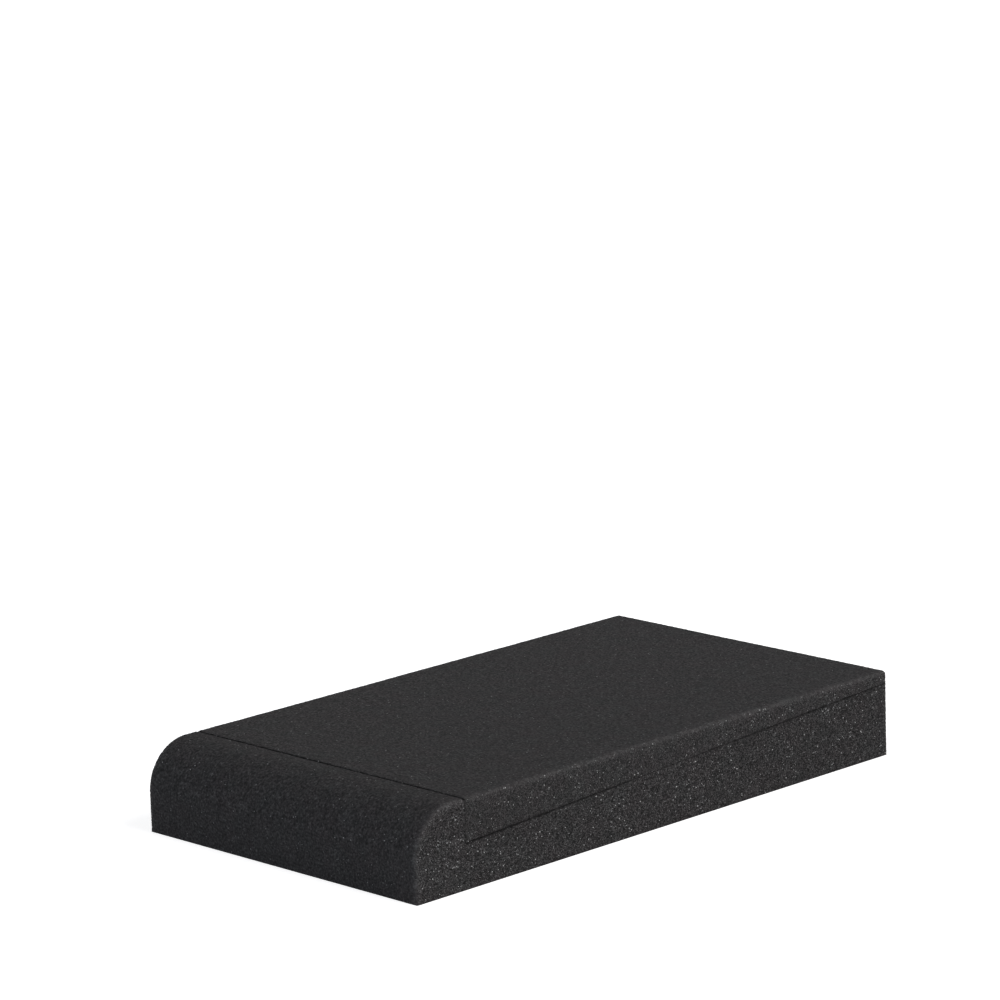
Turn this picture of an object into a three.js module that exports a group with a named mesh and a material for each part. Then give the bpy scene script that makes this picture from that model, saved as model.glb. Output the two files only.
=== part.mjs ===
// A foam isolation pad that stands under one small speaker on a desk or shelf.
// It is two loose blocks of the same charcoal foam. The base has a rounded nose across its front and,
// behind the nose, a step down to a seat that rises towards the back. The wedge lies on that seat with its
// thick heel against the step, which makes the whole top level. Turned end for end, the wedge raises the
// speaker's back instead, so that it faces downwards.
//
// Millimetres, +Z up. The origin is the middle of the underside, and the nose faces -Y.

import * as THREE from 'three';

// The pad as a whole
const PAD_WIDTH = 170;
const PAD_LENGTH = 300;
const PAD_HEIGHT = 40;

// The rounded nose, and the level lip behind its round, up to the step
const NOSE_RADIUS = 22;
const LIP_LENGTH = 29;
const NOSE_SEGMENTS = 32;

// The wedge: its thickness at the heel, against the step, and at the tip, at the back
const HEEL_THICKNESS = 19.5;
const TIP_THICKNESS = 5.7;

// The knife's kerf that parts the wedge from the step and from the seat
const KERF = 0.3;

// Places along the pad, from the front to the back
const frontY = -PAD_LENGTH / 2;
const stepY = frontY + LIP_LENGTH;
const backY = PAD_LENGTH / 2;

// Heights of the wedge's underside at its two ends, and of the seat one kerf below it
const heelZ = PAD_HEIGHT - HEEL_THICKNESS;
const tipZ = PAD_HEIGHT - TIP_THICKNESS;
const seatFrontZ = heelZ - KERF;
const seatBackZ = tipZ - KERF;

// Side view of the base, with y along the pad and z up: an upright front that rolls over the nose to the
// lip, the step straight down, the seat rising to the back, and an upright back.
function baseProfile() {
  const profile = new THREE.Shape();
  profile.moveTo(frontY, 0);
  profile.lineTo(backY, 0);
  profile.lineTo(backY, seatBackZ);
  profile.lineTo(stepY, seatFrontZ);
  profile.lineTo(stepY, PAD_HEIGHT);
  profile.lineTo(frontY + NOSE_RADIUS, PAD_HEIGHT);
  profile.absarc(frontY + NOSE_RADIUS, PAD_HEIGHT - NOSE_RADIUS, NOSE_RADIUS, Math.PI / 2, Math.PI, false);
  profile.closePath();
  return profile;
}

// Side view of the wedge: square heel one kerf behind the step, level top, square tip flush with the back.
function wedgeProfile() {
  const profile = new THREE.Shape();
  profile.moveTo(stepY + KERF, heelZ);
  profile.lineTo(backY, tipZ);
  profile.lineTo(backY, PAD_HEIGHT);
  profile.lineTo(stepY + KERF, PAD_HEIGHT);
  profile.closePath();
  return profile;
}

// Runs a side view straight across the pad, from its left flank to its right one.
function cutAcross(profile) {
  const block = new THREE.ExtrudeGeometry(profile, {
    depth: PAD_WIDTH,
    bevelEnabled: false,
    curveSegments: NOSE_SEGMENTS,
  });
  block.translate(0, 0, -PAD_WIDTH / 2);
  block.rotateX(Math.PI / 2);
  block.rotateZ(Math.PI / 2);
  return block;
}

// Dull charcoal foam, which reflects about the same at every angle.
function charcoalFoam() {
  return new THREE.MeshStandardMaterial({ color: 0x39383a, roughness: 0.95, metalness: 0 });
}

function foamBlock(name, profile) {
  const block = new THREE.Mesh(cutAcross(profile), charcoalFoam());
  block.name = name;
  return block;
}

const pad = new THREE.Group();
pad.name = 'isolation_pad';
pad.add(foamBlock('base_pad', baseProfile()));
pad.add(foamBlock('wedge_insert', wedgeProfile()));

export default pad;
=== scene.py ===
import math

import bpy
import numpy as np
from mathutils import Matrix, Vector


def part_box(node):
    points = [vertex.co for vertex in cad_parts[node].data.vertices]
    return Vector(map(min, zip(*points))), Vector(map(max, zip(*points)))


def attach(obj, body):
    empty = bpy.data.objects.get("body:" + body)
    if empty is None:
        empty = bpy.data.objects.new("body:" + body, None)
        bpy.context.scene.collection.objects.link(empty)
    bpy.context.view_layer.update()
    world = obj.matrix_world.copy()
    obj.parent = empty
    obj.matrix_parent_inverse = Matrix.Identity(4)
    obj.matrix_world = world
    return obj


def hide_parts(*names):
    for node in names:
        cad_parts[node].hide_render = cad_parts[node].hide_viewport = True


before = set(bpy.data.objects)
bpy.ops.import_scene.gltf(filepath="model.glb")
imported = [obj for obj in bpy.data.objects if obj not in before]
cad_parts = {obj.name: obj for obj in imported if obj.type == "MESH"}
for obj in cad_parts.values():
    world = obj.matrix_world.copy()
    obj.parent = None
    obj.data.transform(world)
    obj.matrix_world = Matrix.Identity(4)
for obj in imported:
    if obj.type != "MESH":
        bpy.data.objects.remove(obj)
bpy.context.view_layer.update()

# Isolation pad in two loose blocks of charcoal open-cell foam: a base with a rounded nose across its front
# and, behind a step, a seat that rises to the back, and a wedge that lies on the seat and makes the top
# level. Metres, +Z up, and the nose faces -Y.

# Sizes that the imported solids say
base_low, base_high = (np.array(corner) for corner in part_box("base_pad"))
wedge_low = np.array(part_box("wedge_insert")[0])
half_width = base_high[0]
front_y = base_low[1]
back_y = base_high[1]
top_z = base_high[2]
heel_y = wedge_low[1]
heel_z = wedge_low[2]

# Sizes that the boxes don't say, as in the solids
NOSE_RADIUS = 0.022
TIP_THICKNESS = 0.0057
KERF = 0.0003

# The blocks touch but for a hair, so each comes almost up to the middle of the knife's kerf
CONTACT_GAP = 0.0001
cut_y = heel_y - KERF / 2
step_y = cut_y - CONTACT_GAP / 2
wedge_y = cut_y + CONTACT_GAP / 2
tip_z = top_z - TIP_THICKNESS

# How far the foam's edges are rounded: the outer ones, the floor's, and the ones along the cut
EDGE_ROUND = 0.0018
FLOOR_ROUND = 0.0004
SEAM_ROUND = 0.0006
LIP_ROUND = 0.0013
STEP_ROUND = 0.0003

# The steps of the rounded edge between skin and flank, of a corner's arc, and of the nose's
RIM_STEPS = 5
ARC_STEPS = 4
NOSE_STEPS = 56

# The height below which the floor's tight edge holds, how far before the step the seat's calm begins, and
# what is left of the seam's edge where the cut is closed
FLOOR_BAND = 0.001
SEAM_MARGIN = 0.001
CLOSED_SEAM = 0.2

# The wedge is a hair narrower than the base
WEDGE_INSET = 0.00012

# The grids' steps, each about 0.8 mm or less on what shows, and how many times a flank's net is evened
ACROSS = 226
BASE_ALONG = 356
BASE_BACK_UP = 46
NOSE_UNDER = 40
STEP_UP = 26
WEDGE_ACROSS = 210
WEDGE_ALONG = 336
WEDGE_TIP_UP = 10
EVENING_PASSES = 400

# Relief of the foam: single cells, pores cut open, and the slow waviness that the knife leaves. It fades out
# within the calm reach of the faces that nothing shows
CUT_RELIEF = 0.00009
SKIN_RELIEF = 0.000035
PORE_DEPTH = 0.00032
PORE_SHARE = 0.012
CELL_LIMIT = 2.2
WAVE_HEIGHT = 0.00005
WAVE_COUNT = 8
WAVE_LENGTHS = (0.025, 0.09)
CALM_REACH = 0.0012
BASE_SEED = 11
WEDGE_SEED = 23

# Where along the pad the cut between the blocks gapes, by how much, and the ripple on that
SEAM_PLACES = [-0.122, -0.117, -0.045, -0.022, -0.014, 0.008, 0.045, 0.065, 0.130, 0.149]
SEAM_OPEN = [1.8, 1.08, 0.75, 0.5, 0.1, 0.2, 0.4, 0.75, 0.75, 0.4]
SEAM_RIPPLE = 0.15
RIPPLE_LENGTHS = (0.007, 0.017)

# How much painted shade darkens the edges of the cut's upright part: where it meets the top, and on the way
# down. A part of the painted shade is left where the edge meets the flank
GROOVE_SHADE = 2.0
STEP_SHADE = 0.1
FLANK_SHADE = 0.25

# How the cut's painted shade wanders: lumps to a millimetre, what they add, and the plain part
SHADE_CLOUD = (0.3, -3.0, -0.65)

# How far in from an edge the painted highlight reaches, how ragged it is, as for the cut, and the grain
# left there
HIGHLIGHT_REACH = 0.0011
HIGHLIGHT_CLOUD = (0.45, 1.54, 0.61)
HIGHLIGHT_GRAIN = 0.62

# The foam's colour, which wanders a little between two casts
WARM_CHARCOAL = (0.0352, 0.0333, 0.0342, 1)
COOL_CHARCOAL = (0.0336, 0.0337, 0.0342, 1)
CAST_CLOUD = (0.09, 3.0, 0.5)

# Its grains: lumps to a millimetre, and how strongly they tint the skin and a sawn flank
SPECKS = (2.3, 0.9, 3.4)
MOTTLE = (0.92, 3.3, 0.4)
PATCHES = (0.25, 0.7, 0.4)
CELLS_PER_MM = 2.3
SKIN_CELLS = 0.35

# Its bright flecks, which are painted glints: sites to a millimetre, how much of a site one fills, how
# few are bright, and their share and strength on the skin. They lie in clusters. Their number grows with
# height, in millimetres from one level to another and from one share to another, and changes along the pad
# between two places
FLECK_SITES_PER_MM = 1.35
FLECK_FILL = 0.38
FLECK_POWER = 2.6
SKIN_FLECKS = 0.03
SKIN_FLECK_STRENGTH = 0.4
CLUSTER_CLOUD = (0.11, 4.0, 1.0)
FLECK_HEIGHTS = (1.0, 6.0, 0.2, 1.0)
FLECK_DRIFT = (40.0, 150.0)

# Where a block's painted light drifts, in millimetres from front to back
LIGHT_DRIFT = (-120.0, 150.0)

# The fine relief that only the light shows: its strength, its depth, and the mottle's part in it
FINE_RELIEF = (0.35, 0.0002)
MOTTLE_RELIEF = 0.6
FOAM_GLOSS = 0.08

# What differs between the two blocks: how strongly single cells tint a sawn flank, how much paler the
# painted highlight makes the edges, the powers of e of painted light at the front and the back, the
# painted glints' share at the front and how many times as many there are at the back, and their colour
BASE_CAST = (2.2, 1.0, (0.0, -0.05), 0.2, 0.5, (0.72, 0.73, 0.74, 1))
WEDGE_CAST = (1.6, 0.84, (0.05, 0.13), 0.27, 0.85, (0.62, 0.63, 0.63, 1))

# The view, in degrees and metres: how far it is turned to the right from the front, raised and rolled, the
# point that it looks at, and from how far. The lens and its sensor are in millimetres
VIEW_AZIMUTH = 45.504
VIEW_ELEVATION = 12.557
VIEW_ROLL = -1.710
VIEW_TARGET = (-0.0001, -0.0112, 0.1368)
VIEW_DISTANCE = 2.0872
LENS = 169.95
SENSOR = 36
FAR_END = 50

# The strength of the light from all round and of the floor's glow for the camera, the floor's colour, and
# how far it reaches each way
ROOM_LIGHT = 0.15
FLOOR_GLOW = 0.8
FLOOR_WHITE = (0.75, 0.75, 0.76, 1)
FLOOR_REACH = 9.0
PLAIN_WHITE = (1, 1, 1, 1)

# The lamps: azimuth, elevation, strength, colour and spread
KEY_LAMP = (115, 38, 2.15, (1.0, 0.985, 0.975), 50)
FILL_LAMP = (-25, 4, 1.7, (0.84, 0.9, 1.0), 60)


def smooth(value):
    """0 below 0, 1 above 1, and 3t^2 - 2t^3 between them."""
    t = np.clip(value, 0, 1)
    return t * t * (3 - 2 * t)


def running_mean(values):
    """Each value on a closed line becomes the mean of itself and its two neighbours, three times over."""
    for _ in range(3):
        values = (np.roll(values, 1) + values + np.roll(values, -1)) / 3
    return values


def outward(corners):
    """Unit vectors that point out of each edge of a side view: its own direction, turned to the right."""
    along = np.roll(corners, -1, axis=0) - corners
    along /= np.linalg.norm(along, axis=1, keepdims=True)
    return np.stack([along[:, 1], -along[:, 0]], axis=1)


def rounded_outline(corners, radii, arc_steps, edge_steps):
    """A closed side view, counter-clockwise with y to the right and z up, as rows of (y, z) and of normals,
    and the numbers at which each corner starts and ends. Each corner becomes an arc of its radius that
    touches both of its edges: its centre lies one radius inside both, and the normal turns evenly from one
    edge's to the other's. The edge that follows is cut into even steps. A corner of radius 0 is one point."""
    leave = outward(corners)
    arrive = np.roll(leave, 1, axis=0)
    mitre = (arrive + leave) / (1 + (arrive * leave).sum(1, keepdims=True))
    arcs, turns = [], []
    for corner, radius, steps, start, end, out in zip(corners, radii, arc_steps, arrive, leave, mitre):
        if radius == 0:
            arcs.append(corner[None])
            turns.append(out[None])
            continue
        first = math.atan2(start[1], start[0])
        sweep = math.atan2(start[0] * end[1] - start[1] * end[0], start @ end)
        angles = first + sweep * np.linspace(0, 1, steps + 1)
        spokes = np.stack([np.cos(angles), np.sin(angles)], axis=1)
        arcs.append(corner - radius * out + radius * spokes)
        turns.append(spokes)
    places, normals, starts, ends, count = [], [], [], [], 0
    for k, steps in enumerate(edge_steps):
        following = arcs[(k + 1) % len(arcs)][0]
        share = np.linspace(0, 1, steps + 1)[1:-1, None]
        places += [arcs[k], arcs[k][-1] * (1 - share) + following * share]
        normals += [turns[k], np.repeat(leave[k][None], len(share), axis=0)]
        starts.append(count)
        ends.append(count + len(arcs[k]) - 1)
        count += len(arcs[k]) + len(share)
    return np.concatenate(places), np.concatenate(normals), starts, ends


def inset_corners(corners, insets):
    """The corners of a side view after each edge has moved in by its own inset. A corner moves so far that it
    stays on both of its edges, and by the shortest way where they run straight on."""
    leave = outward(corners)
    both = np.stack([np.roll(leave, 1, axis=0), leave], axis=1)
    moves = np.stack([np.roll(insets, 1), insets], axis=1)
    return corners - (np.linalg.pinv(both) @ moves[..., None])[..., 0]


class Shell:
    """One closed block, sewn by number: patches that meet share the numbers of the points where they meet."""

    def __init__(self):
        self.points = np.zeros((0, 3))
        self.cut = np.zeros(0)
        self.shade = np.zeros(0)
        self.faces = []

    def place(self, xyz, cut, shade=0.0):
        """Adds a grid of points and gives their numbers as a grid. Each point keeps how much of a sawn flank
        it is, and how much painted shade it takes from the cut between the blocks."""
        numbers = len(self.points) + np.arange(xyz[..., 0].size).reshape(xyz.shape[:-1])
        self.points = np.concatenate([self.points, xyz.reshape(-1, 3)])
        self.cut = np.concatenate([self.cut, np.full(numbers.size, float(cut))])
        self.shade = np.concatenate([self.shade, np.broadcast_to(shade, numbers.shape).ravel()])
        return numbers

    def sew(self, grid, mirrored=False):
        """Covers a grid of numbers with four-sided faces, whose normal is rows across columns."""
        quads = np.stack([grid[:-1, :-1], grid[1:, :-1], grid[1:, 1:], grid[:-1, 1:]], axis=-1).reshape(-1, 4)
        self.faces += (quads[:, ::-1] if mirrored else quads).tolist()

    def rims(self, side_view, insets, widths, extra, shade, half):
        """The rounded edges between the skin and each flank. Each ring of a flank has its angle a, from 0 to
        a quarter turn. It is the side view with each edge moved in by (inset + extra) (1 - cos a), and it
        lies at half - width (1 - sin a) across the pad. A corner's radius shrinks with its smaller inset,
        down to half. The cut's painted shade falls off with the cosine. Gives the numbers of the innermost
        and outermost rings, for the left and the right flank."""
        corners, radii, arc_steps, edge_steps = side_view
        least = np.minimum(insets, np.roll(insets, 1))
        found = []
        for side in (-1, 1):
            rings = []
            for angle in np.linspace(0, math.pi / 2, RIM_STEPS + 1):
                give = 1 - math.cos(angle)
                inner_radii = np.maximum(radii - least * give, radii / 2)
                inner = inset_corners(corners, insets * give)
                outline, normals, _, _ = rounded_outline(inner, inner_radii, arc_steps, edge_steps)
                inward = outline - normals * (extra * give)[:, None]
                across = side * (half - widths * (1 - math.sin(angle)))
                shaded = shade * (FLANK_SHADE + (1 - FLANK_SHADE) * math.cos(angle))
                rings.append(self.place(np.column_stack([across, inward]), math.sin(angle) ** 2, shaded))
            grid = np.stack(rings, axis=1)
            self.sew(np.concatenate([grid, grid[:1]]), mirrored=side < 0)
            found.append((rings[0], rings[-1]))
        return found

    def span(self, left, right, steps):
        """Straight lines across the pad between two rows of numbers, stepped evenly."""
        share = np.linspace(0, 1, steps + 1)[None, 1:-1, None]
        inner = self.points[left][:, None] * (1 - share) + self.points[right][:, None] * share
        shade = np.repeat(self.shade[left][:, None], steps - 1, axis=1)
        grid = np.column_stack([left, self.place(inner, 0, shade), right])
        self.sew(grid)
        return grid

    def cap(self, left, right, first=None, last=None):
        """One flat face that nothing shows, from its left side across to its right one. An end that crosses
        the pad takes the points of the skin that stops there."""
        across_first = [] if first is None else first[1:-1].tolist()
        across_last = [] if last is None else last[1:-1].tolist()
        self.faces.append(left.tolist() + across_last + right[::-1].tolist() + across_first[::-1])

    def fill(self, bottom, top, front, back, mirrored):
        """A flank patch inside four sides: the two ruled surfaces between facing sides are added and the one
        through the four corners taken away, then each inner point becomes the mean of its four neighbours,
        over and over, until the net lies even."""
        u = np.linspace(0, 1, len(bottom))[:, None, None]
        v = np.linspace(0, 1, len(front))[None, :, None]
        low, high, near, far = (self.points[side] for side in (bottom, top, front, back))
        net = (1 - v) * low[:, None] + v * high[:, None] + (1 - u) * near[None] + u * far[None]
        net -= (1 - u) * ((1 - v) * low[0] + v * high[0]) + u * ((1 - v) * low[-1] + v * high[-1])
        for _ in range(EVENING_PASSES):
            net[1:-1, 1:-1] = (net[:-2, 1:-1] + net[2:, 1:-1] + net[1:-1, :-2] + net[1:-1, 2:]) / 4
        grid = np.zeros(net.shape[:2], int)
        grid[:, 0], grid[:, -1], grid[0], grid[-1] = bottom, top, front, back
        grid[1:-1, 1:-1] = self.place(net[1:-1, 1:-1], 1)
        self.sew(grid, mirrored)


def seam_openness(y):
    """How far the cut gapes at each y, 1 where it is as wide as the seam's round: straight from place to
    place, then raised and lowered by the share that a product of two sines gives."""
    short, long = (2 * math.pi * y / length for length in RIPPLE_LENGTHS)
    return np.interp(y, SEAM_PLACES, SEAM_OPEN) * (1 + SEAM_RIPPLE * np.sin(short) * np.sin(long + 1))


def seat_height(y):
    """Height of the cut's middle at each y, straight from the wedge's heel to its tip."""
    return heel_z + (y - heel_y) / (back_y - heel_y) * (tip_z - heel_z) - KERF / 2


def edge_finish(outline, normals, on_seam, on_lip):
    """How wide the rounding to the flank is at each point of a side view, how much further than its inset the
    seam is cut back, and how much painted shade the cut puts on it. The outer edges are the softest. The
    floor and the seam have tight edges, which near the front and the back follow the round of the upright
    edges, seen from above: R - sqrt(R^2 - (R - d)^2) at the distance d from the end, for the radius R. The
    seam's edge follows the cut's openness, and the upright part of the cut is tighter."""
    y, z = outline.T
    openness = seam_openness(y)
    seam = SEAM_ROUND * (CLOSED_SEAM + (1 - CLOSED_SEAM) * openness)
    to_centre = np.clip(EDGE_ROUND - np.minimum(y - front_y, back_y - y), 0, EDGE_ROUND)
    from_above = EDGE_ROUND - np.sqrt(EDGE_ROUND ** 2 - to_centre ** 2)
    upright = (on_seam | on_lip) & (np.abs(normals[:, 0]) > 0.9)
    widths = np.where(z < FLOOR_BAND, np.maximum(FLOOR_ROUND, from_above), EDGE_ROUND)
    widths = np.where(on_seam, np.maximum(seam, from_above), widths)
    widths = np.where(on_lip, LIP_ROUND, widths)
    widths = np.where(upright, STEP_ROUND, widths)
    extra = np.where(on_seam & ~upright, seam - SEAM_ROUND / 2, 0.0)
    shade = np.where(on_seam, openness, np.where(on_lip, GROOVE_SHADE, 0.0))
    shade = np.where(upright, STEP_SHADE, shade)
    return running_mean(widths), running_mean(extra), shade


def base_shell():
    """The base block: its side view carried across the pad. Each flank is filled in front of a line that
    falls straight from the seat's inner corner to the floor, and behind it."""
    seat_y = np.array([back_y, step_y])
    seat_z = seat_height(seat_y) - CONTACT_GAP / 2
    corners = np.array([(step_y, top_z), (front_y, top_z), (front_y, 0), (step_y, 0), (back_y, 0),
                        (back_y, seat_z[0]), (step_y, seat_z[1])])
    lip, nose, toe, under, tail, rear, nook = range(7)
    radii = np.array([LIP_ROUND, NOSE_RADIUS, FLOOR_ROUND, 0, FLOOR_ROUND, SEAM_ROUND, 0])
    insets = np.array([EDGE_ROUND, EDGE_ROUND, FLOOR_ROUND, FLOOR_ROUND, EDGE_ROUND, SEAM_ROUND / 2,
                       STEP_ROUND])
    arc_steps = [ARC_STEPS, NOSE_STEPS, ARC_STEPS, 0, ARC_STEPS, ARC_STEPS, 0]
    half_arc = ARC_STEPS // 2
    lip_steps = NOSE_UNDER - half_arc - NOSE_STEPS // 2
    front_steps = STEP_UP + BASE_BACK_UP - half_arc - NOSE_STEPS // 2
    edge_steps = [lip_steps, front_steps, NOSE_UNDER - half_arc, BASE_ALONG - half_arc,
                  BASE_BACK_UP - 2 * half_arc, BASE_ALONG - half_arc, STEP_UP - half_arc]
    side_view = (corners, radii, arc_steps, edge_steps)
    outline, normals, starts, ends = rounded_outline(*side_view)
    middle = [(start + end) // 2 for start, end in zip(starts, ends)]
    number = np.arange(len(outline))
    on_seam = number >= (starts[rear] + ends[rear]) / 2
    on_lip = number < (starts[lip] + ends[lip]) / 2 + 1

    shell = Shell()
    widths, extra, shade = edge_finish(outline, normals, on_seam, on_lip)
    found = shell.rims(side_view, insets, widths, extra, shade, half_width)
    (left, left_flank), (right, right_flank) = found
    front = slice(starts[lip], ends[toe] + 1)
    behind = slice(starts[tail], ends[rear] + 1)
    skin = shell.span(left[front], right[front], ACROSS)
    back = shell.span(left[behind], right[behind], ACROSS)
    floor_run = number[ends[toe]: starts[tail] + 1]
    seat_run = number[ends[rear]: starts[nook] + 1]
    step_run = np.append(number[starts[nook]:], starts[lip])
    shell.cap(left[floor_run], right[floor_run], skin[-1], back[0])
    shell.cap(left[seat_run], right[seat_run], back[-1])
    shell.cap(left[step_run], right[step_run], last=skin[0])

    share = np.linspace(0, 1, BASE_BACK_UP + 1)[1:-1, None]
    for ring, mirrored in ((left_flank, True), (right_flank, False)):
        foot, corner = ring[starts[under]], ring[starts[nook]]
        line = shell.place(shell.points[foot] * (1 - share) + shell.points[corner] * share, 1)
        line = np.concatenate([[foot], line, [corner]])
        step = np.concatenate([ring[starts[nook] + 1:], ring[: middle[lip] + 1]])
        shell.fill(
            ring[middle[toe]: starts[under] + 1],
            ring[middle[lip]: middle[nose] + 1][::-1],
            ring[middle[nose]: middle[toe] + 1][::-1],
            np.concatenate([line, step]),
            mirrored,
        )
        shell.fill(
            ring[starts[under]: middle[tail] + 1],
            ring[middle[rear]: starts[nook] + 1][::-1],
            line,
            ring[middle[tail]: middle[rear] + 1],
            mirrored,
        )
    return shell


def wedge_shell():
    """The wedge: its side view carried across the pad, with each flank filled by one patch."""
    under_y = np.array([wedge_y, back_y])
    under_z = seat_height(under_y) + CONTACT_GAP / 2
    corners = np.array([(wedge_y, under_z[0]), (back_y, under_z[1]), (back_y, top_z), (wedge_y, top_z)])
    heel, tail, rear, lip = range(4)
    radii = np.array([0, SEAM_ROUND, EDGE_ROUND, LIP_ROUND])
    insets = np.array([SEAM_ROUND / 2, EDGE_ROUND, EDGE_ROUND, STEP_ROUND])
    arc_steps = [0, ARC_STEPS, ARC_STEPS, ARC_STEPS]
    half_arc = ARC_STEPS // 2
    edge_steps = [WEDGE_ALONG - half_arc, WEDGE_TIP_UP, WEDGE_ALONG - 2 * half_arc, WEDGE_TIP_UP + half_arc]
    side_view = (corners, radii, arc_steps, edge_steps)
    outline, normals, starts, ends = rounded_outline(*side_view)
    middle = [(start + end) // 2 for start, end in zip(starts, ends)]
    number = np.arange(len(outline))
    on_seam = number <= (starts[tail] + ends[tail]) / 2
    on_lip = number >= (starts[lip] + ends[lip]) / 2

    shell = Shell()
    widths, extra, shade = edge_finish(outline, normals, on_seam, on_lip)
    found = shell.rims(side_view, insets, widths, extra, shade, half_width - WEDGE_INSET)
    (left, left_flank), (right, right_flank) = found
    shown = slice(starts[tail], ends[lip] + 1)
    skin = shell.span(left[shown], right[shown], WEDGE_ACROSS)
    seat_run = number[starts[heel]: starts[tail] + 1]
    heel_run = np.append(number[ends[lip]:], starts[heel])
    shell.cap(left[seat_run], right[seat_run], last=skin[0])
    shell.cap(left[heel_run], right[heel_run], skin[-1])
    for ring, mirrored in ((left_flank, True), (right_flank, False)):
        shell.fill(
            ring[starts[heel]: middle[tail] + 1],
            ring[middle[rear]: middle[lip] + 1][::-1],
            np.append(ring[middle[lip]:], ring[starts[heel]])[::-1],
            ring[middle[tail]: middle[rear] + 1],
            mirrored,
        )
    return shell


def waves(points, seed):
    """Slow waviness, mostly between -1 and 1: twice the mean of some sines, each of its own length and along
    its own direction."""
    draw = np.random.default_rng(seed)
    directions = draw.normal(size=(WAVE_COUNT, 3))
    directions /= np.linalg.norm(directions, axis=1, keepdims=True)
    lengths = draw.uniform(*WAVE_LENGTHS, WAVE_COUNT)
    turns = draw.uniform(0, 2 * math.pi, WAVE_COUNT)
    phase = points @ (directions / lengths[:, None]).T * 2 * math.pi + turns
    return np.sin(phase).sum(1) * 2 / WAVE_COUNT


def base_inset(y, z):
    """How far a point of the base's side view is inside its skin: the least of the distances to the front,
    the back and the lip, and in the corner of the nose the radius less the distance from the arc's centre."""
    arc_y, arc_z = front_y + NOSE_RADIUS, top_z - NOSE_RADIUS
    straight = np.minimum(np.minimum(y - front_y, back_y - y), np.where(y < step_y, top_z - z, 1))
    round_nose = NOSE_RADIUS - np.hypot(y - arc_y, z - arc_z)
    return np.maximum(np.where((y < arc_y) & (z > arc_z), round_nose, straight), 0)


def wedge_inset(y, z):
    """How far a point of the wedge's side view is below its top or in front of its back, if that is less."""
    return np.maximum(np.minimum(top_z - z, back_y - y), 0)


def highlight_band(points, inset, half):
    """Painted highlight along the edges: 1 on the middle of the rounded edge between skin and flank,
    falling by e for each reach of way from it. The middle of a round of radius r is r (1 - cos 45 degrees)
    inside each of its two faces."""
    inside = np.maximum(half - np.abs(points[:, 0]), 0) + inset(points[:, 1], points[:, 2])
    away = np.maximum(inside - 2 * EDGE_ROUND * (1 - math.cos(math.pi / 4)), 0)
    return np.exp(-away / HIGHLIGHT_REACH)


def base_hidden(points):
    """How far a point of the base is from the faces that nothing shows: underside, seat and step."""
    y, z = points[:, 1], points[:, 2]
    seat = np.where(y > step_y - SEAM_MARGIN, np.abs(seat_height(y) - z), 1)
    step = np.where(z > seat_height(y), np.abs(step_y - y), 1)
    return np.minimum(np.minimum(z, seat), step)


def wedge_hidden(points):
    """How far a point of the wedge is from its underside and from its heel."""
    y, z = points[:, 1], points[:, 2]
    return np.minimum(z - seat_height(y), y - wedge_y)


def foam_block(name, shell, hidden, edge_highlight, seed):
    """Makes a shell a mesh and moves each point along its normal by the foam's relief: a random height for
    each point, a few open pores that sink in, and slow waves, all fading out towards the faces that nothing
    shows."""
    mesh = bpy.data.meshes.new(name)
    mesh.from_pydata(shell.points, [], shell.faces)
    mesh.update()
    count = len(shell.points)
    normals = np.empty(count * 3, np.float32)
    mesh.vertex_normals.foreach_get("vector", normals)
    draw = np.random.default_rng(seed)
    cells = np.clip(draw.normal(size=count), -CELL_LIMIT, CELL_LIMIT)
    pores = draw.random(count) < PORE_SHARE * shell.cut
    height = cells * (SKIN_RELIEF + (CUT_RELIEF - SKIN_RELIEF) * shell.cut)
    height -= pores * PORE_DEPTH * draw.uniform(0.5, 1, count)
    height += waves(shell.points, seed + 1) * WAVE_HEIGHT
    height *= smooth(hidden / CALM_REACH)
    moved = shell.points + normals.reshape(-1, 3) * height[:, None]
    mesh.vertices.foreach_set("co", moved.astype(np.float32).ravel())
    mesh.polygons.foreach_set("use_smooth", np.ones(len(shell.faces), bool))
    # Each point's share of a sawn flank, its painted highlight along the edges, and the painted shade of the
    # cut
    for label, values in (("cut_face", shell.cut), ("edge_highlight", edge_highlight), ("seam_painted_shade", shell.shade)):
        attribute = mesh.attributes.new(label, "FLOAT", "POINT")
        attribute.data.foreach_set("value", values.astype(np.float32))
    mesh.update()
    piece = bpy.data.objects.new(name, mesh)
    bpy.context.scene.collection.objects.link(piece)
    return piece


def base_foam():
    """The base block, in its foam."""
    shell = base_shell()
    # The painted highlight along the rounded edges
    edge_highlight = highlight_band(shell.points, base_inset, half_width)
    piece = foam_block("base_foam", shell, base_hidden(shell.points), edge_highlight, BASE_SEED)
    piece.data.materials.append(charcoal_foam("base_charcoal_foam", *BASE_CAST))
    return piece


def wedge_foam():
    """The wedge, in its foam."""
    shell = wedge_shell()
    # The painted highlight along the rounded edges
    edge_highlight = highlight_band(shell.points, wedge_inset, half_width - WEDGE_INSET)
    piece = foam_block("wedge_foam", shell, wedge_hidden(shell.points), edge_highlight, WEDGE_SEED)
    piece.data.materials.append(charcoal_foam("wedge_charcoal_foam", *WEDGE_CAST))
    return piece


def add(tree, kind, inputs=(), **settings):
    """Adds a node, gives it its settings, and fills its inputs with numbers, colours or nodes' outputs."""
    made = tree.nodes.new(kind)
    for name, value in settings.items():
        setattr(made, name, value)
    for place, value in dict(inputs).items():
        if isinstance(value, bpy.types.NodeSocket):
            tree.links.new(value, made.inputs[place])
        else:
            made.inputs[place].default_value = value
    return made


def sums(tree, operation, *values):
    """One step of arithmetic on numbers or outputs."""
    return add(tree, "ShaderNodeMath", dict(enumerate(values)), operation=operation).outputs[0]


def chain(tree, operation, values):
    """The sum or the product of a list of outputs."""
    result = values[0]
    for value in values[1:]:
        result = sums(tree, operation, result, value)
    return result


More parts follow.
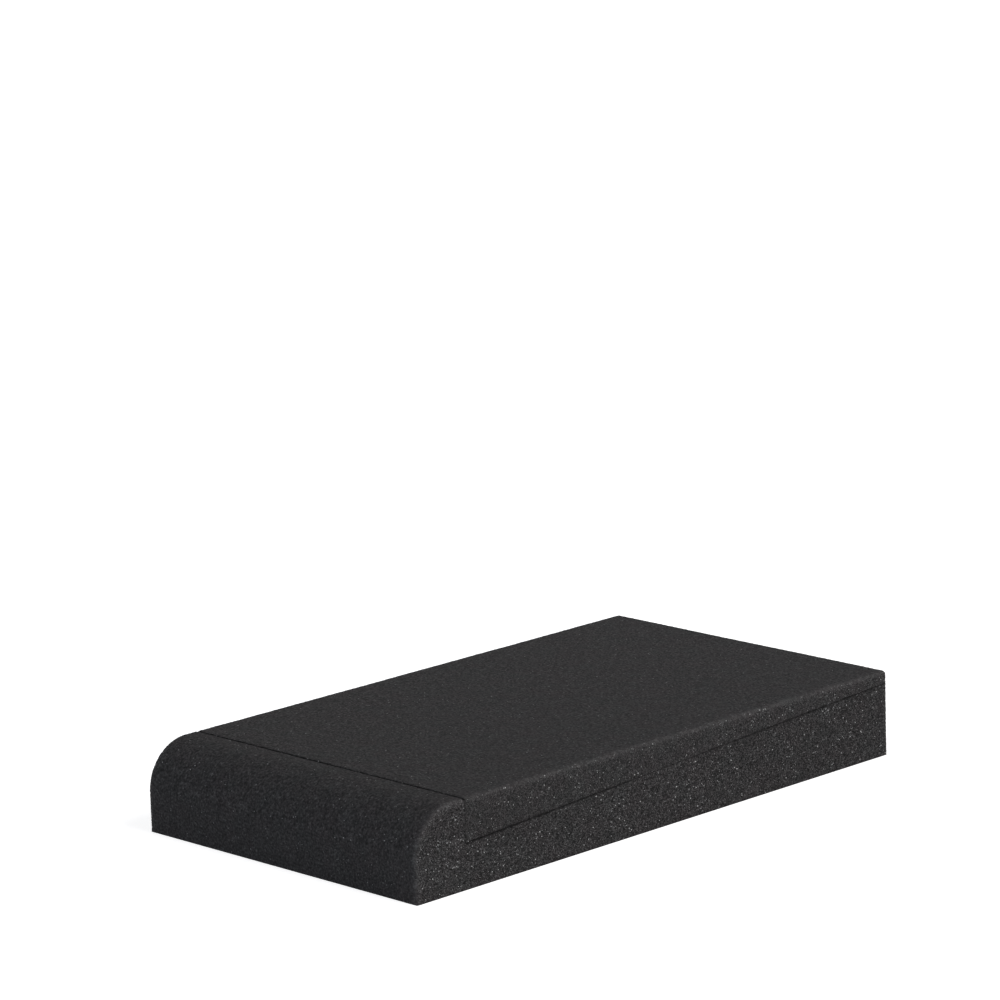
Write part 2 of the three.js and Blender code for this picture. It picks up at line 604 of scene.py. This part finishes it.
def cloud(tree, place, lumps):
    """A noise pattern around 0, mostly within a quarter of it, with that many lumps to a millimetre."""
    inputs = {"Vector": place, "Scale": lumps, "Detail": 2.0, "Roughness": 0.6}
    return sums(tree, "SUBTRACT", add(tree, "ShaderNodeTexNoise", inputs).outputs["Fac"], 0.5)


def clouded(tree, place, lumps, times, plus):
    """A cloud of that many lumps to a millimetre, times a number and plus a number."""
    return sums(tree, "MULTIPLY_ADD", cloud(tree, place, lumps), times, plus)


def between(tree, share, at_zero, at_one):
    """at_zero where the share is 0 and at_one where it is 1, straight in between."""
    return sums(tree, "MULTIPLY_ADD", share, at_one - at_zero, at_zero)


def ramp(tree, value, start, end, at_start, at_end):
    """Goes straight from at_start to at_end as the value goes from start to end, and stays level outside."""
    inputs = {"Value": value, "From Min": start, "From Max": end, "To Min": at_start, "To Max": at_end}
    return add(tree, "ShaderNodeMapRange", inputs).outputs[0]


def tinted(tree, pattern, cut, on_skin, on_flank):
    """A pattern, as strong as it is to be on the skin and on a sawn flank."""
    return sums(tree, "MULTIPLY", pattern, between(tree, cut, on_skin, on_flank))


def glint_strength(tree, place, cut, calm, front_share, back_times):
    """Painted glints, bright flecks: round spots about some of the sites of a Voronoi pattern, each of its
    own brightness. They lie in loose clusters, with fewer near the floor and on the highlighted edges, and
    their number changes towards the back."""
    sites = add(tree, "ShaderNodeTexVoronoi", {"Vector": place, "Scale": FLECK_SITES_PER_MM})
    draw = add(tree, "ShaderNodeSeparateColor", {0: sites.outputs["Color"]}).outputs
    along = add(tree, "ShaderNodeSeparateXYZ", {0: place}).outputs
    shares = [
        between(tree, cut, SKIN_FLECKS, front_share),
        clouded(tree, place, *CLUSTER_CLOUD),
        ramp(tree, along["Z"], *FLECK_HEIGHTS),
        ramp(tree, along["Y"], *FLECK_DRIFT, 1.0, back_times),
        calm,
    ]
    factors = [
        sums(tree, "LESS_THAN", draw[0], chain(tree, "MULTIPLY", shares)),
        sums(tree, "LESS_THAN", sites.outputs["Distance"], FLECK_FILL),
        sums(tree, "POWER", draw[1], FLECK_POWER),
        between(tree, cut, SKIN_FLECK_STRENGTH, 1.0),
    ]
    return chain(tree, "MULTIPLY", factors)


def charcoal_foam(name, cell_tint, paleness, light_drift, front_share, back_times, glint_tone):
    """Charcoal open-cell foam. Its tone is the base colour times e to a sum of grains, so that it has many
    dark and a few bright cells. The sawn flanks have coarse grain and painted glints, bright flecks, and
    the skin has a fine mottle. The edges get a painted highlight, with calmer grain, the cut between the
    blocks gets painted shade in places, and painted light drifts a little over the whole block from front
    to back."""
    material = bpy.data.materials.new(name)
    material.use_nodes = True
    tree = material.node_tree
    tree.nodes.clear()
    metres = add(tree, "ShaderNodeTexCoord").outputs["Object"]
    place = add(tree, "ShaderNodeVectorMath", {0: metres, "Scale": 1000.0}, operation="SCALE").outputs[0]
    to_back = add(tree, "ShaderNodeSeparateXYZ", {0: place}).outputs["Y"]
    cut = add(tree, "ShaderNodeAttribute", attribute_name="cut_face").outputs["Fac"]
    # The painted highlight along the rounded edges
    rim = add(tree, "ShaderNodeAttribute", attribute_name="edge_highlight").outputs["Fac"]
    # The cut's painted shade, which darkens the seam between the blocks
    shade = add(tree, "ShaderNodeAttribute", attribute_name="seam_painted_shade").outputs["Fac"]

    cells = add(tree, "ShaderNodeTexVoronoi", {"Vector": place, "Scale": CELLS_PER_MM})
    cell_draw = add(tree, "ShaderNodeSeparateColor", {0: cells.outputs["Color"]}).outputs[0]
    mottle = cloud(tree, place, MOTTLE[0])
    grains = [
        tinted(tree, sums(tree, "SUBTRACT", cell_draw, 0.5), cut, SKIN_CELLS, cell_tint),
        tinted(tree, cloud(tree, place, SPECKS[0]), cut, *SPECKS[1:]),
        tinted(tree, mottle, cut, *MOTTLE[1:]),
        tinted(tree, cloud(tree, place, PATCHES[0]), cut, *PATCHES[1:]),
        # The cut's painted shade darkens the tone here
        sums(tree, "MULTIPLY", shade, clouded(tree, place, *SHADE_CLOUD)),
        # Painted light: the tone drifts from front to back
        ramp(tree, to_back, *LIGHT_DRIFT, *light_drift),
    ]
    # The edges are painted paler, a painted highlight, with calmer grain and fewer glints
    calm = between(tree, rim, 1.0, HIGHLIGHT_GRAIN)
    lumps, times, plus = HIGHLIGHT_CLOUD
    ragged = clouded(tree, place, lumps, times * paleness, plus * paleness)
    grain = sums(tree, "MULTIPLY", chain(tree, "ADD", grains), calm)
    tone = sums(tree, "EXPONENT", sums(tree, "MULTIPLY_ADD", rim, ragged, grain))

    casts = {0: clouded(tree, place, *CAST_CLOUD), 6: WARM_CHARCOAL, 7: COOL_CHARCOAL}
    hue = add(tree, "ShaderNodeMix", casts, data_type="RGBA").outputs[2]
    dark = add(tree, "ShaderNodeVectorMath", {0: hue, "Scale": tone}, operation="SCALE").outputs[0]
    # Painted glints: bright spots mixed into the colour
    strength = glint_strength(tree, place, cut, calm, front_share, back_times)
    glinted = add(tree, "ShaderNodeMix", {0: strength, 6: dark, 7: glint_tone}, data_type="RGBA").outputs[2]
    relief = sums(tree, "MULTIPLY_ADD", mottle, MOTTLE_RELIEF, cells.outputs["Distance"])
    bumps = {"Strength": FINE_RELIEF[0], "Distance": FINE_RELIEF[1], "Height": relief}
    bump = add(tree, "ShaderNodeBump", bumps).outputs[0]
    finish = {"Base Color": glinted, "Roughness": 1.0, "Specular IOR Level": FOAM_GLOSS, "Normal": bump}
    shader = add(tree, "ShaderNodeBsdfPrincipled", finish).outputs[0]
    add(tree, "ShaderNodeOutputMaterial", {"Surface": shader})
    return material


def white_floor():
    """Plain white floor. To the camera it also glows, so that it is white where the light reaches it and
    keeps the pad's soft shadow."""
    material = bpy.data.materials.new("white_floor")
    material.use_nodes = True
    tree = material.node_tree
    tree.nodes.clear()
    seen = add(tree, "ShaderNodeLightPath").outputs["Is Camera Ray"]
    matt = add(tree, "ShaderNodeBsdfDiffuse", {"Color": FLOOR_WHITE})
    glow = sums(tree, "MULTIPLY", seen, FLOOR_GLOW)
    own = add(tree, "ShaderNodeEmission", {"Color": PLAIN_WHITE, "Strength": glow})
    both = add(tree, "ShaderNodeAddShader", {0: matt.outputs[0], 1: own.outputs[0]})
    add(tree, "ShaderNodeOutputMaterial", {"Surface": both.outputs[0]})
    return material


def floor():
    """A square floor under the pad, so large that it fills the camera's view."""
    mesh = bpy.data.meshes.new("floor")
    corners = [(x * FLOOR_REACH, y * FLOOR_REACH, 0) for x, y in ((-1, -1), (1, -1), (1, 1), (-1, 1))]
    mesh.from_pydata(corners, [], [(0, 1, 2, 3)])
    mesh.materials.append(white_floor())
    ground = bpy.data.objects.new("floor", mesh)
    bpy.context.scene.collection.objects.link(ground)


def room_light():
    """Even light from all round. The camera sees it as plain white, also in mirrors and through glass."""
    world = bpy.data.worlds.new("plain_white_room")
    bpy.context.scene.world = world
    world.use_nodes = True
    tree = world.node_tree
    tree.nodes.clear()
    path = add(tree, "ShaderNodeLightPath").outputs
    seen = sums(tree, "MAXIMUM", path["Is Camera Ray"], path["Is Glossy Ray"])
    seen = sums(tree, "MAXIMUM", seen, path["Is Transmission Ray"])
    strength = between(tree, seen, ROOM_LIGHT, 1)
    own = add(tree, "ShaderNodeBackground", {"Color": PLAIN_WHITE, "Strength": strength})
    add(tree, "ShaderNodeOutputWorld", {"Surface": own.outputs[0]})


def turned(azimuth, elevation, roll):
    """A turn that looks at the origin from that side: -Z forwards, Y up, rolled about the line of sight."""
    round_about = Matrix.Rotation(math.radians(azimuth), 4, "Z")
    level = Matrix.Rotation(math.radians(90 - elevation), 4, "X")
    return round_about @ level @ Matrix.Rotation(math.radians(roll), 4, "Z")


def soft_lamp(name, azimuth, elevation, strength, colour, spread):
    """A far, wide lamp: azimuth from the front towards the right, elevation above the floor, in degrees."""
    lamp = bpy.data.lights.new(name, "SUN")
    lamp.energy = strength
    lamp.angle = math.radians(spread)
    lamp.color = colour
    holder = bpy.data.objects.new(name, lamp)
    holder.matrix_world = turned(azimuth, elevation, 0)
    bpy.context.scene.collection.objects.link(holder)


def camera():
    """The camera, which looks at one point from a distance, as fitted to the photograph's straight edges."""
    lens = bpy.data.cameras.new("camera")
    lens.lens = LENS
    lens.sensor_width = SENSOR
    lens.clip_end = FAR_END
    eye = bpy.data.objects.new("camera", lens)
    turn = turned(VIEW_AZIMUTH, VIEW_ELEVATION, VIEW_ROLL)
    away = turn.to_3x3() @ Vector((0, 0, VIEW_DISTANCE))
    eye.matrix_world = Matrix.Translation(Vector(VIEW_TARGET) + away) @ turn
    bpy.context.scene.collection.objects.link(eye)
    bpy.context.scene.camera = eye


camera()
room_light()
soft_lamp("key", *KEY_LAMP)
soft_lamp("front_fill", *FILL_LAMP)
floor()

for piece, node in ((base_foam(), "base_pad"), (wedge_foam(), "wedge_insert")):
    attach(piece, "root")
    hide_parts(node)

bpy.context.scene.view_settings.view_transform = "Standard"
